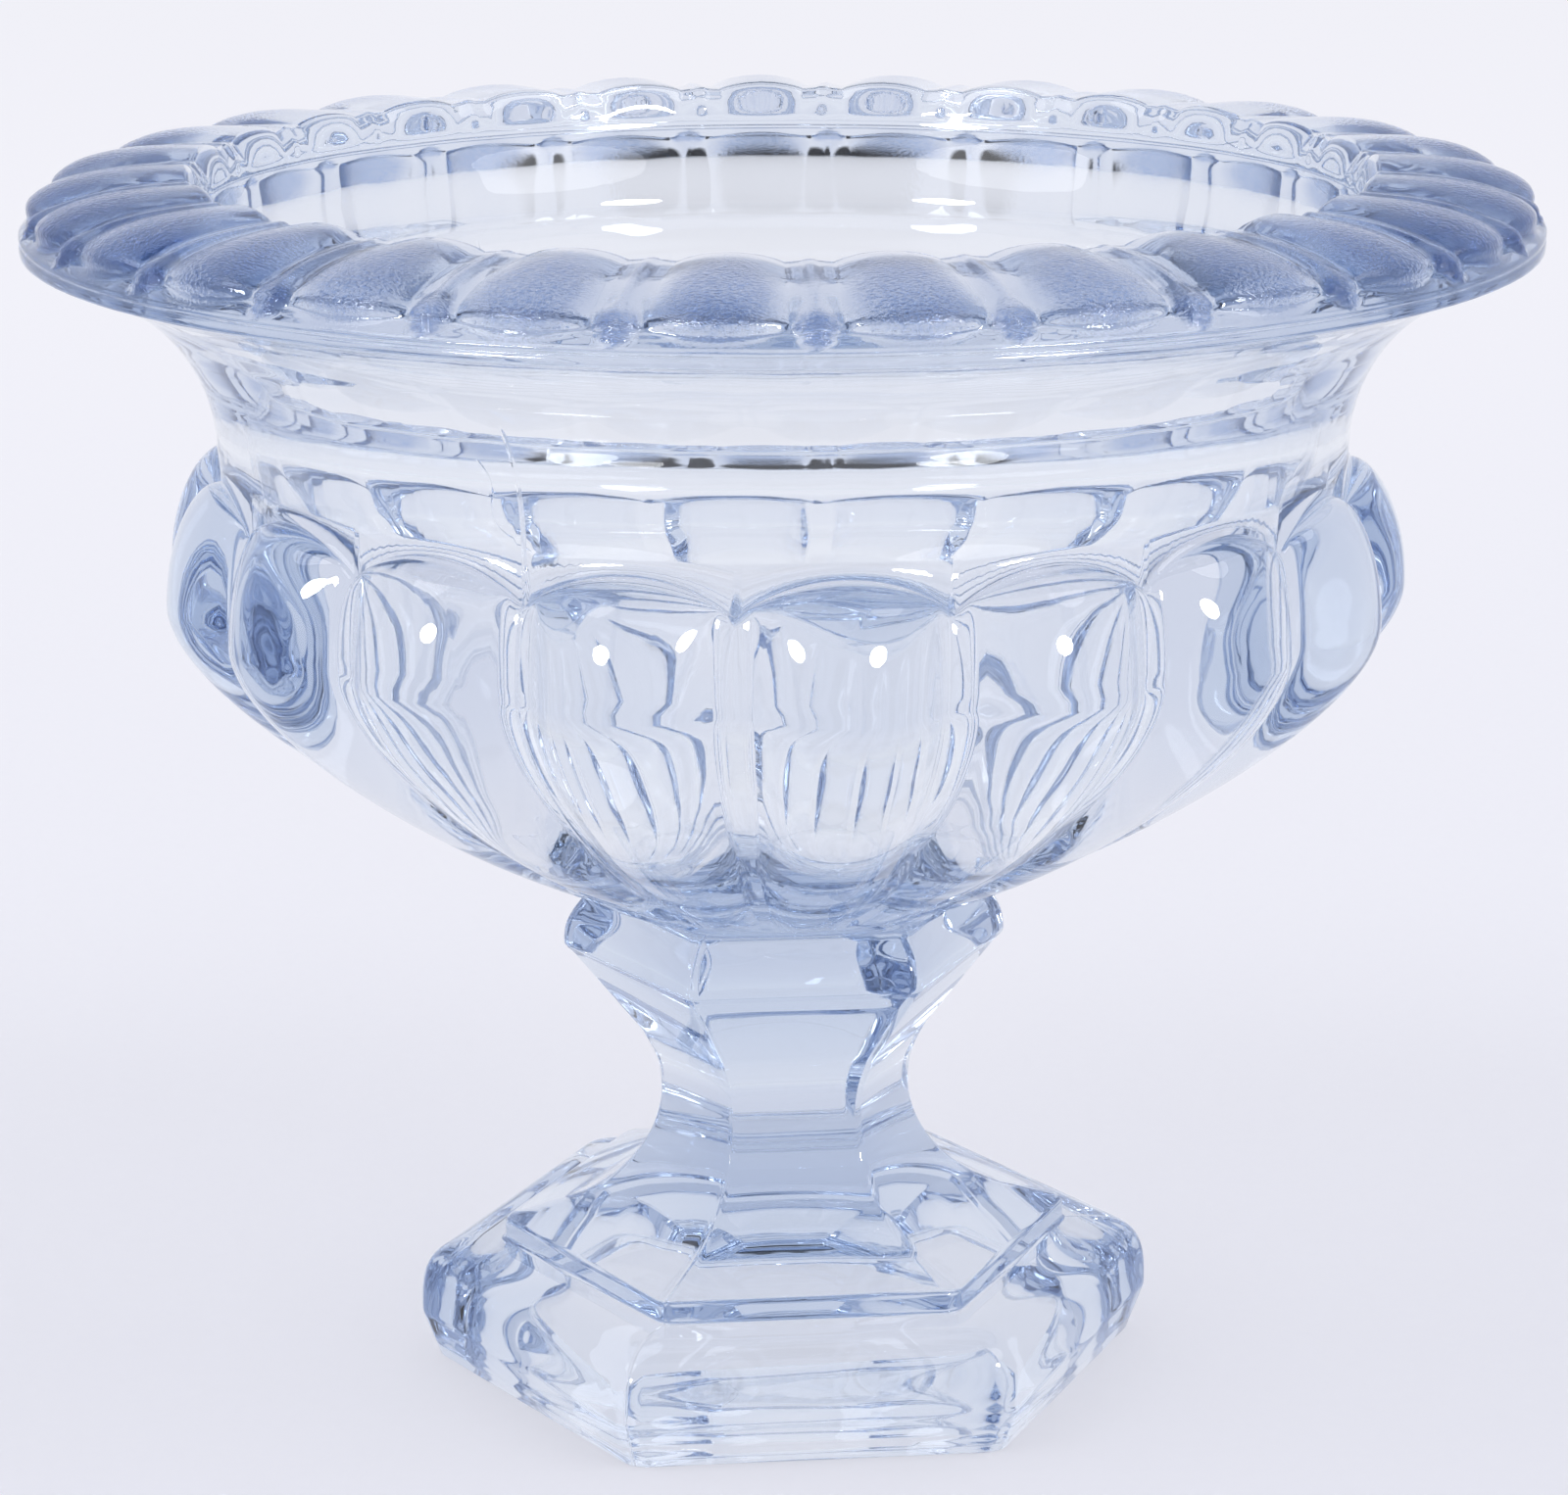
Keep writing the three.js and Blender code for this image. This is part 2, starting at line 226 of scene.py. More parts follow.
def lobe_fall(angle, depth):
    """How far the surface lies under a lobe's middle line, in millimetres."""
    in_lobe = (pattern_place(angle, lobe_count) - groove_share) / (1 - groove_share)
    height = depth * (1 - arc_fall(1 - in_lobe, lobe_arc))
    fillet = channel_fillet * depth / groove_depth
    return depth - (height + np.sqrt(height ** 2 + fillet ** 2)) / 2


# The grooves fade in over the first share of the flank, next to the seat
seat_share = 0.08
flank_handles = (0.425, 0.209), (0, 0.264)
flank_shares = np.concatenate([[0, 0.008, 0.02, 0.035, 0.055, seat_share], np.linspace(0.11, 1, 40)])
flank = sweep((seat_radius, bowl_base), (lobe_radius, belly_level), *flank_handles, flank_shares)
flank_along = np.gradient(flank, axis=0)
flank_along /= np.linalg.norm(flank_along, axis=1)[:, None]
belly_rows = []
for share, p, along in zip(flank_shares, flank, flank_along):
    ease = min(1.0, share / seat_share)
    depth = mix(groove_depth_at_seat, groove_depth, share ** 3 * (4 - 3 * share))
    fall = lobe_fall(lobe_angles, depth) * ease * ease * (3 - 2 * ease)
    belly_rows.append((lobe_angles, p[0] - fall * along[1], p[1] + fall * along[0]))

arch_round, arch_power, arch_rows = 1.6, 0.45, 20
arch_level = arch_top - lobe_arch_rise * arc_fall(1 - pattern_place(lobe_angles, lobe_count), arch_round)
proud = lobe_proud - lobe_fall(lobe_angles, groove_depth)
for share in np.sin(steps(arch_rows)[1:] * math.pi / 2):
    radius = neck_radius + proud * max(0.0, math.cos(share * math.pi / 2)) ** arch_power
    belly_rows.append((lobe_angles, radius, mix(belly_level, arch_level, share)))
print("belly rows:", len(belly_rows))

# %% [markdown]
# ## Rim
# The rim rolls outwards over a plain edge. Broad egg-shaped gadroons run over the roll, and between two of them
# lies a teardrop: a round bulb at the edge with a tail that thins out over the crest. The height above the
# valley is drawn as two round-ended ridges, and the higher one wins. Separate beads could be set on a plain
# roll, but glass has to be one closed skin. A turn counts the way over the roll: 0 at the edge, 1 on the crest
# and 2 at the lip of the mouth.

# %% The roll of the rim
roll_fullness, lip_fullness = 1.3, 1.0


def roll_point(turn):
    """Radius and height on the smooth roll, and the tilt of its normal."""
    outer = turn <= 1
    share = turn if outer else 2 - turn
    width, height = (rim_roll_width, rim_roll_height) if outer else (-lip_roll_width, lip_roll_height)
    side, top = quarter_arc(share, roll_fullness if outer else lip_fullness)
    tilt = share * math.pi / 2 if outer else math.pi - share * math.pi / 2
    return crest_radius + width * side, crest_level - height + height * top, tilt


print("crest of the roll at", [round(float(v), 1) for v in roll_point(1)[:2]], "mm")

# %% Widths and depths of gadroons and teardrops
tear_turns = [0, 0.2, 0.5, 1, 2]
tear_widths = np.array([0.95, 1, 0.35, 0.45, 0.35]) * tear_width
tear_heights = np.array([1, 1, 0.5, 0.26, 0.15]) * tear_height
valley_turns = [0, 0.03, 0.1, 0.45, 1, 1.5, 2]
valley_depths = np.array([0, 0.4, 0.9, 1, 0.52, 0.35, 0]) * valley_depth
tear_columns, egg_columns = np.array([0, 0.5, 0.9]), np.array([0, 0.07, 0.2, 0.4, 0.68, 1.0])


def rim_shares(turn):
    """Width of a teardrop and of a valley as shares of one period of the pattern."""
    period = 2 * math.pi * roll_point(turn)[0] / gadroon_count
    return np.interp(turn, tear_turns, tear_widths) / period, valley_width / period


def gadroon_angles(turn):
    """Angles of the columns at one turn of the roll."""
    tear, valley = rim_shares(turn)
    places = np.concatenate([tear * tear_columns, valley + (1 - valley) * egg_columns])
    return pattern_angles(gadroon_count, places)


def valley_at(turn):
    """Depth of the valleys at one turn of the roll."""
    return np.interp(turn, valley_turns, valley_depths)


print("deepest valley", round(float(valley_depths.max()), 1), "mm, teardrop", tear_width, "mm wide")

# %% Heights of gadroons and teardrops
least_valley = 0.1
egg_round, tear_round, egg_arc = 0.3, 0.2, 1.3


def nose(turn, full):
    """A ridge ends in a round nose at the edge: 1 there, 0 where the ridge has its full width."""
    return max(0.0, 1 - turn / full)


def ridge_heights(turn, angles):
    """Heights of the gadroons and of the teardrops above the valleys, as shares of the valleys' depth."""
    place, (tear, valley) = pattern_place(angles, gadroon_count), rim_shares(turn)
    egg = np.minimum(1, np.hypot((1 - place) / (1 - valley), nose(turn, egg_round)))
    drop = np.minimum(1, np.hypot(place / tear, nose(turn, tear_round)))
    tear_top = np.interp(turn, tear_turns, tear_heights) / max(least_valley, valley_at(turn))
    return 1 - arc_fall(egg, egg_arc), min(1.0, tear_top) * (1 - rounded_fall(drop))


crest_ridges = ridge_heights(1, gadroon_angles(1))
print("heights on the crest, as shares of a valley:", [round(float(r.max()), 2) for r in crest_ridges])

# %% Rows of the rim
rim_turns = np.concatenate([[0, 0.012, 0.03], np.linspace(0.05, 0.4, 16), np.linspace(0.44, 1, 11),
                            np.linspace(1.1, 2, 10)])
rim_rows = []
for turn in rim_turns:
    angles = gadroon_angles(turn)
    fall = valley_at(turn) * (1 - np.maximum(*ridge_heights(turn, angles)))
    radius, height, tilt = roll_point(turn)
    rim_rows.append((angles, radius - fall * math.cos(tilt), height - fall * math.sin(tilt)))
print("rim rows:", len(rim_rows))

# %% [markdown]
# ## Neck and inside
# The neck sweeps out plain under the rim, whose edge carries the fine parting line of the mould. The inside is
# as smooth as the plunger that pressed it: a flared mouth, an upright wall and a round floor. The photograph
# shows one dark line under the lip. With the shorter flare of the solid, the wall would mirror the dark ceiling
# in a second one, so the flare of the skin starts 2.3 mm lower. It lies up to 0.9 mm off the solid there.

# %% Rows of the neck and the edge of the rim
def level_row(angles, radius, height):
    """A row that keeps one radius and one height all round."""
    return angles, np.full(len(angles), radius), np.full(len(angles), height)


edge_angles = gadroon_angles(0)
neck_handles = (0, 0.533), (0.557, 0.133)
neck_shares = np.concatenate([[0], np.linspace(0.04, 0.985, 20), [1]])
neck = sweep((neck_radius, neck_level), (rim_radius, flange_level), *neck_handles, neck_shares)
neck_rows = [level_row(mix(lobe_angles, edge_angles, share), r, z) for share, (r, z) in zip(neck_shares, neck)]

parting_depth = 0.35
parting_side = 0.4 * parting_depth
edge_line = [(0, 0.15), (0, 0.4), (-parting_side, 0.52), (-parting_depth, 0.6), (-parting_side, 0.68),
             (0, 0.8)]
edge_rows = [level_row(edge_angles, rim_radius + inset, flange_level + up * rim_edge_height)
             for inset, up in edge_line]
print("neck rows:", len(neck_rows), "and edge rows:", len(edge_rows))

# %% Rows of the inside and the base
flare_softening = 2.3
mouth_handles, cup_handles = ((0, 0.4), (0.05, 0.4)), ((0.015, 0.56), (0.6, 0))
inner_neck = np.array((inner_neck_radius, lip_level - mouth_flare_height - flare_softening))
inner_belly = np.array((inner_belly_radius, belly_level))
mouth = sweep((lip_radius, lip_level), inner_neck, *mouth_handles, steps(14)[1:])
wall = mix(inner_neck, inner_belly, steps(8)[1:, None])
cup = sweep(inner_belly, (0, floor_level), *cup_handles, steps(26)[1:])
mouth_angles = gadroon_angles(2)
inside_rows = [level_row(mouth_angles, r, z) for r, z in np.vstack([mouth, wall, cup])]

base_radii = 0, 9, 18, wafer_radius, 28.5, 30.4
base_rows = [level_row(lobe_angles, r, bowl_base) for r in base_radii]
rows_under_rim = base_rows + belly_rows + neck_rows + edge_rows
bowl_rows = rows_under_rim + rim_rows + inside_rows
print("rows of the bowl:", len(bowl_rows))

# %% [markdown]
# ## From rows to a mesh
# A net of rows and columns becomes four-sided faces. Three notes travel with the mesh for the material: which
# faces are melted into the next piece, which points may show a seam of the mould, and how strongly the mould
# wrinkled them. The wrinkles fill an oval on each gadroon and the bulb of each teardrop, and thin out along its
# tail, and the same note of wrinkles sets where the glass gets a painted shade of deeper blue. In the
# photograph the seam shows only up to the lower neck, so it ends there. The notes could be painted by hand, but
# a rule treats all shares alike.

# %% Where the mould wrinkled the rim, and where the glass gets painted shade
def rise_to_full(value, fade, least=0.0):
    """1 from the fade upwards, and less below it, down to the least."""
    return np.clip(value / fade, least, 1)


oval_middle, oval_half_turn, oval_half_width, oval_fade = 0.5, 0.56, 0.76, 0.45
drop_fade, bulb_end, bulb_fade, tail_strength, tail_end, tail_fade = 0.3, 0.4, 0.12, 0.3, 1.3, 0.5
bowl_wrinkle_and_shade = np.zeros((len(bowl_rows), len(lobe_angles)))
for number, (turn, (angles, _, _)) in enumerate(zip(rim_turns, rim_rows), len(rows_under_rim)):
    beside_middle = (1 - pattern_place(angles, gadroon_count)) / oval_half_width
    on_egg = rise_to_full(1 - np.hypot((turn - oval_middle) / oval_half_turn, beside_middle), oval_fade)
    on_drop = rise_to_full(ridge_heights(turn, angles)[1], drop_fade)
    on_drop = on_drop * rise_to_full(bulb_end - turn, bulb_fade, tail_strength)
    on_drop = on_drop * rise_to_full(tail_end - turn, tail_fade)
    bowl_wrinkle_and_shade[number] = np.maximum(on_egg, on_drop)
print("wrinkled points in a share:", int((bowl_wrinkle_and_shade > 0).sum()), "of", bowl_wrinkle_and_shade.size)


# %% One share as a mesh
def share_mesh(name, rows, joined_rows, outside_rows, wrinkle_and_shade=0):
    """A mesh of one share. Rows run from the underside outwards and back to the axis."""
    angles, radii, heights = (np.array([row[i] for row in rows]) for i in range(3))
    points = np.stack([radii * np.cos(angles), radii * np.sin(angles), heights], axis=-1) * MM
    row_count, column_count = angles.shape
    corner = np.arange(row_count * column_count).reshape(row_count, column_count)
    corners = [corner[:-1, :-1], corner[:-1, 1:], corner[1:, 1:], corner[1:, :-1]]
    mesh = bpy.data.meshes.new(name)
    mesh.from_pydata(points.reshape(-1, 3).tolist(), [], np.stack(corners, axis=-1).reshape(-1, 4).tolist())
    melted = np.zeros((row_count - 1, column_count - 1))
    melted[list(joined_rows)] = 1
    outside = np.zeros((row_count, column_count))
    outside[list(outside_rows)] = 1
    wrinkled = np.zeros((row_count, column_count)) + wrinkle_and_shade
    notes = [("hot_joint", "FACE", melted), ("mould_side", "POINT", outside),
             ("mould_wrinkle_and_painted_shade", "POINT", wrinkled)]
    for note, place, values in notes:
        mesh.attributes.new(note, "FLOAT", place).data.foreach_set("value", values.astype(np.float32).ravel())
    mesh.shade_smooth()
    return mesh


seamed_neck_rows = 9
bowl_melted = range(base_radii.index(wafer_radius))
bowl_outside = range(len(base_rows), len(base_rows + belly_rows) + seamed_neck_rows)
bowl_share = share_mesh("bowl_share", bowl_rows, bowl_melted, bowl_outside, bowl_wrinkle_and_shade)
print("faces in one share of the bowl:", len(bowl_share.polygons))

# %% [markdown]
# ## Turning shares round the axis
# Geometry Nodes repeats a share: it puts one point for each copy on the axis, hangs the share on each point
# turned by its number, makes the copies real and welds the columns where they meet. The number of copies, the
# weld and the glass are inputs, so the same tree makes the bowl, the wafer and the foot.

# %% One function that adds a node, and one for arithmetic
def add(tree, kind, inputs=None, **settings):
    """Adds a node with its settings. An input is a value, or a socket to link from."""
    made = tree.nodes.new(kind)
    for name, value in settings.items():
        setattr(made, name, value)
    for name, value in (inputs or {}).items():
        if isinstance(value, bpy.types.NodeSocket):
            tree.links.new(value, made.inputs[name])
        else:
            made.inputs[name].default_value = value
    return made


def reckon(tree, operation, *values):
    """One step of arithmetic between nodes."""
    return add(tree, "ShaderNodeMath", dict(enumerate(values)), operation=operation).outputs[0]


# %% The tree that turns shares round the axis
turner = bpy.data.node_groups.new("turn_shares_round_axis", "GeometryNodeTree")
turner.interface.new_socket("Share", in_out="INPUT", socket_type="NodeSocketGeometry")
copies_input = turner.interface.new_socket("Copies", in_out="INPUT", socket_type="NodeSocketInt")
weld_input = turner.interface.new_socket("Weld", in_out="INPUT", socket_type="NodeSocketFloat")
glass_input = turner.interface.new_socket("Glass", in_out="INPUT", socket_type="NodeSocketMaterial")
turner.interface.new_socket("Piece", in_out="OUTPUT", socket_type="NodeSocketGeometry")
given = add(turner, "NodeGroupInput").outputs
points = add(turner, "GeometryNodePoints", {"Count": given["Copies"]}).outputs["Points"]
number = add(turner, "GeometryNodeInputIndex").outputs["Index"]
part_of_turn = reckon(turner, "DIVIDE", number, given["Copies"])
turn = reckon(turner, "MULTIPLY", part_of_turn, 2 * math.pi)
euler = add(turner, "ShaderNodeCombineXYZ", {"Z": turn}).outputs[0]
rotation = add(turner, "FunctionNodeEulerToRotation", {"Euler": euler}).outputs[0]
hanging = {"Points": points, "Instance": given["Share"], "Rotation": rotation}
hung = add(turner, "GeometryNodeInstanceOnPoints", hanging).outputs[0]
real = add(turner, "GeometryNodeRealizeInstances", {"Geometry": hung}).outputs[0]
welding = {"Geometry": real, "Distance": given["Weld"]}
welded = add(turner, "GeometryNodeMergeByDistance", welding).outputs[0]
glazing = {"Geometry": welded, "Material": given["Glass"]}
glazed = add(turner, "GeometryNodeSetMaterial", glazing).outputs[0]
add(turner, "NodeGroupOutput", {"Piece": glazed})
print("nodes in the tree:", len(turner.nodes))

# %% [markdown]
# ## Pressed glass
# Soda-lime glass bends light by 1.5 and was fire-polished after pressing, so it is clear and very smooth. Its
# pale ice blue lies in the body of the glass: thin walls look almost white, and thick edges, where light
# travels far inside, look blue. So the colour is given as absorption. The skin has three marks of the mould:
# fine wrinkles where the gadroons chilled first, a long soft waviness, and three thin seams where the mould
# opened. The gadroons and teardrops look a stronger blue than their thickness gives, so their wrinkled skin
# gets a painted shade of deeper blue. Where two pieces were melted into one, the faces bend no light at all.

# %% Small functions for materials
def linear(hex_colour):
    """Turns an sRGB hex colour into the linear values that a shader wants."""
    parts = [int(hex_colour[i:i + 2], 16) / 255 for i in (1, 3, 5)]
    return tuple(c / 12.92 if c <= 0.04045 else ((c + 0.055) / 1.055) ** 2.4 for c in parts) + (1.0,)


def empty_tree(owner):
    """The node tree of a material or a room, with nothing in it yet."""
    owner.use_nodes = True
    owner.node_tree.nodes.clear()
    return owner.node_tree


def blend(tree, share, first, second):
    """A mix of two colours."""
    return add(tree, "ShaderNodeMix", {"Factor": share, 6: first, 7: second}, data_type="RGBA").outputs[2]


def spread(tree, value, start=(0.0, 1.0), end=(0.0, 1.0), **settings):
    """Moves a value from one range to another and stops it at the ends."""
    limits = {"From Min": start[0], "From Max": start[1], "To Min": end[0], "To Max": end[1]}
    return add(tree, "ShaderNodeMapRange", {"Value": value, **limits}, **settings).outputs[0]


print("middle grey as a linear value:", round(linear("#808080")[0], 3))

# %% Notes and places that the glass reads
glass = bpy.data.materials.new("pressed_soda_lime_glass_ice_blue")
tree = empty_tree(glass)
melted, outside, wrinkle_and_shade = (add(tree, "ShaderNodeAttribute", attribute_name=note).outputs["Fac"]
                            for note in ("hot_joint", "mould_side", "mould_wrinkle_and_painted_shade"))
spot = add(tree, "ShaderNodeTexCoord").outputs["Object"]
axes = add(tree, "ShaderNodeSeparateXYZ", {0: spot}).outputs
flat = add(tree, "ShaderNodeCombineXYZ", {"X": axes["X"], "Y": axes["Y"]}).outputs[0]
out_from_axis = add(tree, "ShaderNodeVectorMath", {0: flat}, operation="LENGTH").outputs["Value"]
heading = add(tree, "ShaderNodeVectorMath", {0: flat}, operation="NORMALIZE").outputs[0]
print("nodes for notes and places:", len(tree.nodes))

# %% Wrinkles, drawn round the rim and up its roll so that they follow both
wrinkle_size, wrinkle_stretch, wrinkle_height = 0.65, 0.9, 0.25
ring_scale = {0: heading, "Scale": crest_radius * MM / wrinkle_stretch}
round_rim = add(tree, "ShaderNodeVectorMath", ring_scale, operation="SCALE").outputs[0]
up_roll = reckon(tree, "SUBTRACT", axes["Z"], out_from_axis)
lift = add(tree, "ShaderNodeCombineXYZ", {"Z": up_roll}).outputs[0]
on_roll = add(tree, "ShaderNodeVectorMath", {0: round_rim, 1: lift}, operation="ADD").outputs[0]
crease_noise = {"Vector": on_roll, "Scale": 1 / (wrinkle_size * MM), "Detail": 2.0, "Roughness": 0.55}
creases = add(tree, "ShaderNodeTexNoise", crease_noise).outputs["Fac"]
crease_depth = reckon(tree, "MULTIPLY", creases, wrinkle_and_shade)
print("wrinkles", wrinkle_size, "mm wide and", wrinkle_height, "mm high")

# %% Seams a third of a turn apart, as thin ridges on the outside only
seam_count, seam_half_width, seam_height = 3, 0.45, 0.1
bearing = reckon(tree, "ARCTAN2", axes["Y"], axes["X"])
across = reckon(tree, "SINE", reckon(tree, "MULTIPLY", bearing, seam_count / 2))
beside = reckon(tree, "MULTIPLY", reckon(tree, "ABSOLUTE", across), out_from_axis)
seam_reach = seam_half_width * MM * seam_count / 2
ridge = spread(tree, beside, (0.0, seam_reach), (1.0, 0.0), interpolation_type="SMOOTHSTEP")
seams = reckon(tree, "MULTIPLY", ridge, outside)
print("seams:", seam_count, "of", 2 * seam_half_width, "mm")

# %% Long waves, and the three reliefs one over the other
wave_length, wave_height = 14, 0.12
wave_noise = {"Vector": spot, "Scale": 1 / (wave_length * MM), "Detail": 1.0}
waves = add(tree, "ShaderNodeTexNoise", wave_noise).outputs["Fac"]
relief = None
for height, millimetres in ((waves, wave_height), (seams, seam_height), (crease_depth, wrinkle_height)):
    bump = {"Strength": 1.0, "Distance": millimetres * MM, "Height": height}
    if relief is not None:
        bump["Normal"] = relief
    relief = add(tree, "ShaderNodeBump", bump).outputs[0]
print("waves", wave_length, "mm long and", wave_height, "mm high")

# %% Skin and body of the glass
glass_bends, joint_bends = 1.5, 1.0
wave_range, roughness_range = (0.3, 0.7), (0.004, 0.02)
crease_range, tint_range = (0.35, 0.65), (0.55, 1.0)
# The second colour is painted shade: a deeper blue laid on the wrinkled gadroons and teardrops, patchy along
# the creases.
clear_skin, painted_shade_blue = linear("#fdfeff"), linear("#7c9bd0")
bending = spread(tree, melted, end=(glass_bends, joint_bends))
sheen = spread(tree, waves, wave_range, roughness_range)
polish = reckon(tree, "MULTIPLY", sheen, reckon(tree, "SUBTRACT", 1.0, melted))
speckle = spread(tree, creases, crease_range, tint_range)
painted_shade_share = reckon(tree, "MULTIPLY", wrinkle_and_shade, speckle)
skin_colour_with_painted_shade = blend(tree, painted_shade_share, clear_skin, painted_shade_blue)
skin = add(tree, "ShaderNodeBsdfPrincipled", {
    "Base Color": skin_colour_with_painted_shade, "Transmission Weight": 1.0, "IOR": bending, "Roughness": polish, "Normal": relief,
}).outputs[0]
body_colour, body_density = linear("#5f9cd2"), 8.0
body = add(tree, "ShaderNodeVolumeAbsorption", {"Color": body_colour, "Density": body_density}).outputs[0]
add(tree, "ShaderNodeOutputMaterial", {"Surface": skin, "Volume": body})
print("glass loses per mm:", [round(body_density * (1 - c) * MM, 4) for c in body_colour[:3]])

# %% [markdown]
# ## The bowl
# The tree now turns the share into the whole bowl. The tree could stay on the piece, but the result is kept as
# a plain mesh and the tree is taken off again, so that nothing is left to be worked out later.

# %% Turn the shares and make plain meshes
weld_distance = 0.004


def turned_piece(name, mesh, copies):
    """Runs the tree on one share and keeps the result as a plain mesh at the origin."""
    piece = bpy.data.objects.new(name, mesh)
    scene.collection.objects.link(piece)
    turning = piece.modifiers.new("turn_shares", "NODES")
    turning.node_group = turner
    turning[copies_input.identifier] = copies
    turning[weld_input.identifier] = weld_distance * MM
    turning[glass_input.identifier] = glass
    view = bpy.context.evaluated_depsgraph_get()
    whole = bpy.data.meshes.new_from_object(piece.evaluated_get(view), depsgraph=view)
    piece.modifiers.remove(turning)
    piece.data = whole
    whole.name = name
    whole.shade_smooth()
    whole.calc_loop_triangles()
    print(name, len(whole.vertices), "points,", len(whole.loop_triangles), "triangles")
    return piece


pressed_bowl = turned_piece("pressed_bowl", bowl_share, bowl_shares)

# %% [markdown]
# ## Foot
# The foot is a hexagon at every level of one section: a plain band on the table, a cushioned shoulder, a small
# step and terrace, a waisted stem and a flared knop. One share of it is a sixth, from the middle of one side
# over a corner to the middle of the next. Its edges were softened by the fire polish, so every sharp turn of
# the section gets a small round. A round foot could be cut flat on six sides, but it would lose its soft
# corners, so each row is drawn as a hexagon. The underside is hollowed into a dome, and the top ends in the
# round face that was melted on.

# %% Rounds for sharp edges
sharp_turn, edge_reach, edge_limit = math.radians(18), 0.9, 0.45


def soften(line):
    """Rounds each sharp turn of a line of points, as far along both sides as there is room."""
    soft = [line[0]]
    for before, here, after in zip(line, line[1:], line[2:]):
        into, out = here - before, after - here
        lengths = np.linalg.norm(into), np.linalg.norm(out)
        if into @ out > math.cos(sharp_turn) * lengths[0] * lengths[1]:
            soft.append(here)
            continue
        cut = min(edge_reach, edge_limit * min(lengths))
        a, b = here - into / lengths[0] * cut, here + out / lengths[1] * cut
        soft += [(1 - t) ** 2 * a + 2 * t * (1 - t) * here + t * t * b for t in steps(4)]
    return np.array(soft + [line[-1]])


print("points that round one corner:", len(soften(np.array([(0, 0), (9, 0), (9, 9)]))) - 2)

# %% Section of the foot
shoulder_fullness, knop_edge_slope = 1.7, 1.1
stem_handles, waist_handles = ((0.5, 0.1), (0, 0.5)), ((0, 0.5), (0.5, 0.3))
knop_edge_handles, knop_top_handles = ((0.6, 0.5), (0, 0.5)), ((0, 0.45), (0.6, 0.35))

side, top = quarter_arc(steps(18), shoulder_fullness)
shoulder = np.stack([step_radius + shoulder_width * side, band_height + shoulder_height * top], axis=1)
band = mix(np.array((base_radius, 0.0)), shoulder[0], steps(3)[:-1, None])
terrace = [(step_radius, step_top)]
waist_point, knop_neck_point = (waist_radius, waist_level), (knop_neck_radius, knop_neck_level)
knop_point, foot_top_point = (knop_radius, knop_level), (knop_radius - knop_top_inset, foot_top)
stem = sweep((terrace_radius, terrace_top), waist_point, *stem_handles, steps(22))
waist = sweep(waist_point, knop_neck_point, *waist_handles, steps(10))
flare_slope = knop_flare_height / (knop_radius - knop_neck_radius)
flare_end = (knop_radius - knop_round, knop_level - knop_round * flare_slope * knop_edge_slope)
flare = mix(waist[-1], np.array(flare_end), steps(8)[1:, None])
knop_edge = sweep(flare_end, knop_point, *knop_edge_handles, steps(6)[1:])
knop_top = sweep(knop_point, foot_top_point, *knop_top_handles, steps(12)[1:])
section = soften(np.vstack([band, shoulder, terrace, stem, waist[1:], flare, knop_edge, knop_top]))
print("points in the section of the foot:", len(section))

# %% Hexagons and rings
corner_half = math.pi / foot_sides
side_columns, corner_columns = 9, 8
even_angles = np.linspace(-corner_half, corner_half, 2 * side_columns + corner_columns + 1)


def hexagon_row(corner_radius, height):
    """One share of a hexagon with a softened corner, from the middle of a side to the middle of the next."""
    soft = foot_corner * corner_radius / band_radius
    arc_centre = corner_radius - soft / math.cos(corner_half)
    turns = np.linspace(-corner_half, corner_half, corner_columns + 1)
    arc = np.stack([arc_centre + soft * np.cos(turns), soft * np.sin(turns)], axis=1)
    side_middle = np.array([math.cos(corner_half), math.sin(corner_half)])
    side_middle = (arc_centre * math.cos(corner_half) + soft) * side_middle
    end_side = mix(arc[-1], side_middle, steps(side_columns)[1:, None])
    start_side = end_side[::-1] * (1, -1)
    x, y = np.vstack([start_side, arc, end_side]).T
    return np.arctan2(y, x), np.hypot(x, y), np.full(len(x), height)


def ring(radius, height):
    """One share of a round row, with as many columns as a hexagon has."""
    return level_row(even_angles, radius, height)


def halfway(row, other):
    """A row in the middle between two rows."""
    return tuple(mix(a, b, 0.5) for a, b in zip(row, other))


print("columns in a share of the foot:", len(even_angles) - 1)

# %% Rows of the foot
dome_rows, dome_fullness = 24, 1.0
joint_radii = wafer_radius, 17, 8, 0
dome_side, dome_top = quarter_arc(steps(dome_rows), dome_fullness)
hollow = [ring(hollow_radius * s, hollow_depth * t) for s, t in zip(dome_side[::-1], dome_top[::-1])]
skin_rows = [hexagon_row(r, z) for r, z in section]
joint = [ring(r, foot_top) for r in joint_radii]
underside = hollow + [halfway(hollow[-1], skin_rows[0])]
foot_rows = underside + skin_rows + [halfway(skin_rows[-1], joint[0])] + joint
foot_melted = range(len(foot_rows) - len(joint), len(foot_rows) - 1)
foot_outside = range(len(underside), len(underside + skin_rows))
foot_share = share_mesh("foot_share", foot_rows, foot_melted, foot_outside)
pressed_foot = turned_piece("pressed_foot", foot_share, foot_sides)

# %% [markdown]
# ## Wafer
# A thin disc of hot glass joins the two pressings, and squeezes out a little at its edge. Its faces stay a
# hair's breadth off the foot and the bowl, so that no two skins lie in one place. It hardly shows and could be
# left out, but it is one of the three solids, so it gets a skin as well.

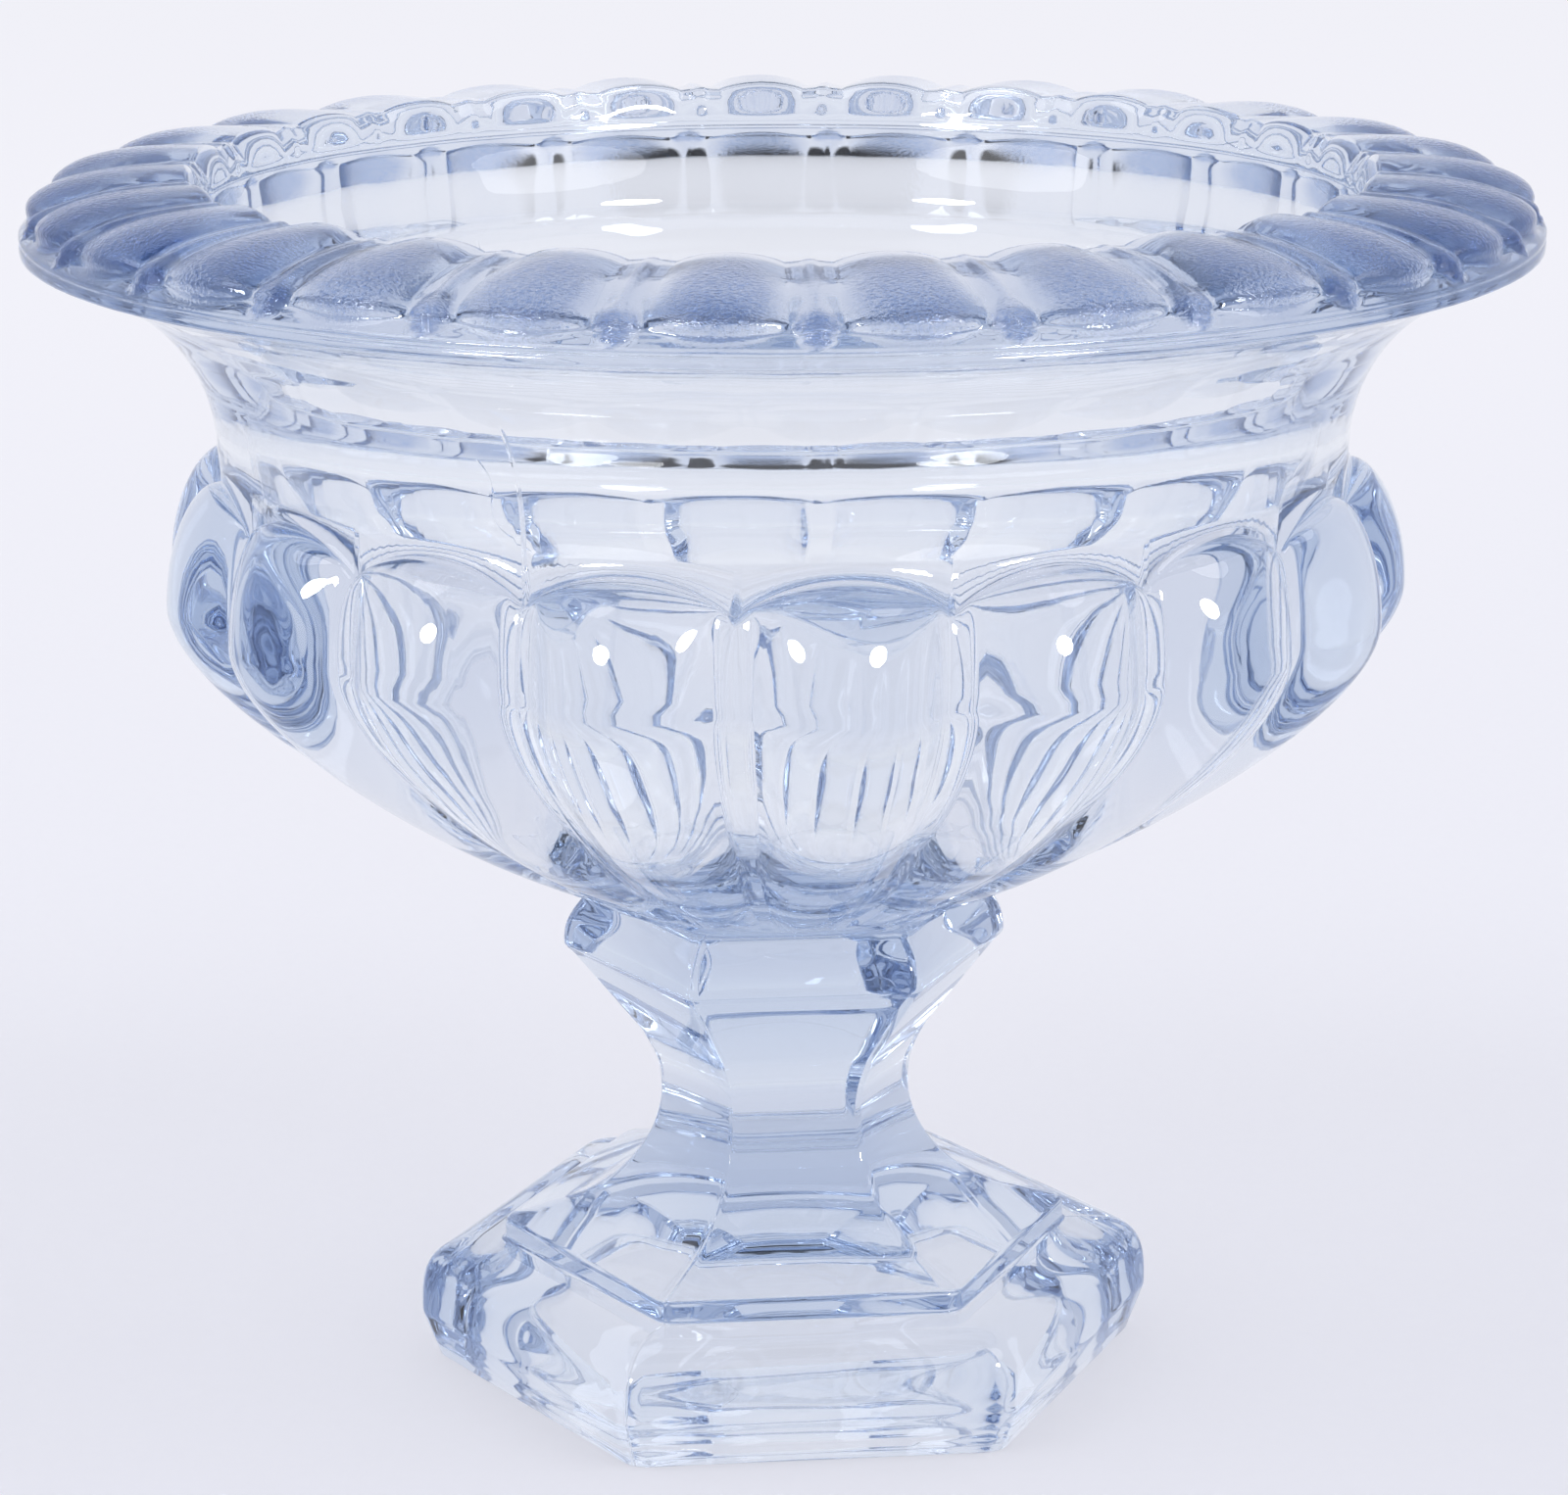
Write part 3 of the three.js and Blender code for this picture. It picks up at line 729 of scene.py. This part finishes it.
# %% The wafer
hair, face_ring = 0.02, 14
under, over = foot_top + hair, bowl_base - hair
wafer_edge = [(wafer_radius + wafer_bulge * math.sin(s * math.pi), mix(under, over, s)) for s in steps(10)]
wafer_line = [(0, under), (face_ring, under), *wafer_edge, (face_ring, over), (0, over)]
wafer_rows = [ring(r, z) for r, z in wafer_line]
wafer_melted = [0, 1, len(wafer_rows) - 3, len(wafer_rows) - 2]
wafer_share = share_mesh("wafer_share", wafer_rows, wafer_melted, [])
joining_disc = turned_piece("joining_disc", wafer_share, foot_sides)

# %% [markdown]
# ## Studio
# The bowl stands on a sheet of pale paper that runs far back, so the camera sees only paper. The sheet lies a
# tenth of a millimetre under the foot, because glass and paper in one plane would show as black. The eye gets
# a share of plain white from the sheet, and a larger one through the glass, so the shadow stays soft. Some
# metres off, the sheet passes into the white of the room, so hardly any horizon shows from low down.

# %% Paper on the table
paper = bpy.data.materials.new("matt_white_paper")
tree = empty_tree(paper)
grain_size = 3
spot = add(tree, "ShaderNodeTexCoord").outputs["Object"]
grain_noise = {"Vector": spot, "Scale": 1 / (grain_size * MM), "Detail": 3.0}
grain = add(tree, "ShaderNodeTexNoise", grain_noise).outputs["Fac"]
fibres = blend(tree, grain, linear("#eeeef5"), linear("#f1f1f7"))
sheet = add(tree, "ShaderNodeBsdfDiffuse", {"Color": fibres}).outputs[0]
print("paper grain", grain_size, "mm")

# %% The plain white that the eye gets from the paper
plain_share, plain_share_in_glass = 0.5, 0.85
near_to_far, haze_start_to_end = (-0.25, 1.2), (1.5, 5.0)
room_white = linear("#f2f2f8")
depth = add(tree, "ShaderNodeSeparateXYZ", {0: spot}).outputs["Y"]
# The colour runs darker towards the front and lighter far back: painted falloff of the light on the sheet.
plain = blend(tree, spread(tree, depth, near_to_far), linear("#e3e4ee"), linear("#f8f8fc"))
away = add(tree, "ShaderNodeVectorMath", {0: spot}, operation="LENGTH").outputs["Value"]
haze = spread(tree, away, haze_start_to_end)
plain = blend(tree, haze, plain, room_white)
glow = add(tree, "ShaderNodeEmission", {"Color": plain, "Strength": 1.0}).outputs[0]

path = add(tree, "ShaderNodeLightPath").outputs
by_eye = path["Is Camera Ray"]
by_glass = reckon(tree, "MAXIMUM", path["Is Glossy Ray"], path["Is Transmission Ray"])
direct = reckon(tree, "MULTIPLY", by_eye, plain_share)
in_glass = reckon(tree, "MULTIPLY", by_glass, plain_share_in_glass)
near_share = reckon(tree, "MAXIMUM", direct, in_glass)
far_share = reckon(tree, "MAXIMUM", by_eye, by_glass)
share = add(tree, "ShaderNodeMix", {"Factor": haze, 2: near_share, 3: far_share}).outputs[0]
surface = add(tree, "ShaderNodeMixShader", {0: share, 1: sheet, 2: glow}).outputs[0]
add(tree, "ShaderNodeOutputMaterial", {"Surface": surface})
print("nodes in the paper:", len(tree.nodes))

# %% The sheet itself
air_gap = 0.1
paper_left, paper_right, paper_front, paper_back = -6, 6, -4, 9
paper_corners = [(paper_left, paper_front), (paper_right, paper_front), (paper_right, paper_back),
                 (paper_left, paper_back)]
paper_mesh = bpy.data.meshes.new("paper_sheet")
paper_mesh.from_pydata([(x, y, -air_gap * MM) for x, y in paper_corners], [], [(0, 1, 2, 3)])
paper_mesh.materials.append(paper)
paper_sheet = bpy.data.objects.new("paper_sheet", paper_mesh)
scene.collection.objects.link(paper_sheet)
print("paper", [round(v, 1) for v in paper_sheet.dimensions], "m")

# %% [markdown]
# ## Light
# The room is white nearly all round, and only the ceiling straight overhead is dark: the glass bends that small
# dark patch into the thin black lines under the lip and round the neck. Two large soft boxes light the sheet,
# and two small ones make the sparks. Light crosses many skins of glass before it reaches the eye, and it also
# shines through the glass onto the paper, so it gets many bounces.

# %% The room's light
room = bpy.data.worlds.new("studio_room")
scene.world = room
tree = empty_tree(room)
direction = add(tree, "ShaderNodeTexCoord").outputs["Generated"]
rise = add(tree, "ShaderNodeSeparateXYZ", {0: direction}).outputs["Z"]
room_light = add(tree, "ShaderNodeValToRGB", {"Fac": rise})
white_up_to, dark_from = 70, 75
for stop, elevation, colour in zip(room_light.color_ramp.elements, (white_up_to, dark_from),
                                   (room_white, linear("#0d0e11"))):
    stop.position, stop.color = math.sin(math.radians(elevation)), colour
sky = add(tree, "ShaderNodeBackground", {"Color": room_light.outputs["Color"], "Strength": 1.0}).outputs[0]
add(tree, "ShaderNodeOutputWorld", {"Surface": sky})
print("room white up to", white_up_to, "degrees, dark from", dark_from, "degrees")

# %% Lamps
lamp_aim = Vector((0, 0, 0.15))


def soft_box(name, azimuth, elevation, distance, width, height, watts, lights_paper=True):
    """An area lamp that faces the bowl. Azimuth 0 is the camera's side, and it grows to the right."""
    a, e = math.radians(azimuth) - foot_turn, math.radians(elevation)
    lamp = bpy.data.lights.new(name, "AREA")
    lamp.shape, lamp.size, lamp.size_y, lamp.energy = "ELLIPSE", width, height, watts
    holder = bpy.data.objects.new(name, lamp)
    outwards = Vector((math.sin(a) * math.cos(e), -math.cos(a) * math.cos(e), math.sin(e)))
    facing = outwards.to_track_quat("Z", "Y").to_matrix().to_4x4()
    holder.matrix_world = Matrix.Translation(lamp_aim + outwards * distance) @ facing
    holder.visible_camera = False
    holder.visible_diffuse = lights_paper
    scene.collection.objects.link(holder)


for name, azimuth in (("soft_box_left", -65), ("soft_box_right", 65)):
    soft_box(name, azimuth, elevation=50, distance=4.0, width=2.2, height=2.2, watts=26)
for name, azimuth in (("spark_left", -39), ("spark_right", 36)):
    soft_box(name, azimuth, elevation=15, distance=0.9, width=0.24, height=0.15, watts=3.5, lights_paper=False)
print("lamps:", [lamp.name for lamp in bpy.data.lights])

# %% Let light pass through
cycles = scene.cycles
cycles.max_bounces, cycles.transmission_bounces, cycles.glossy_bounces = 32, 32, 12
cycles.caustics_refractive, cycles.caustics_reflective = True, True
print("bounces:", cycles.max_bounces)

# %% [markdown]
# ## Pieces on the body
# Each skin stands for its solid and rides on the one body of the object, because nothing on it moves.

# %% Hide each solid and hang its skin on the body
for piece, node in ((pressed_bowl, "bowl"), (joining_disc, "joining_wafer"), (pressed_foot, "pedestal_foot")):
    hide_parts(node)
    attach(piece, "root")
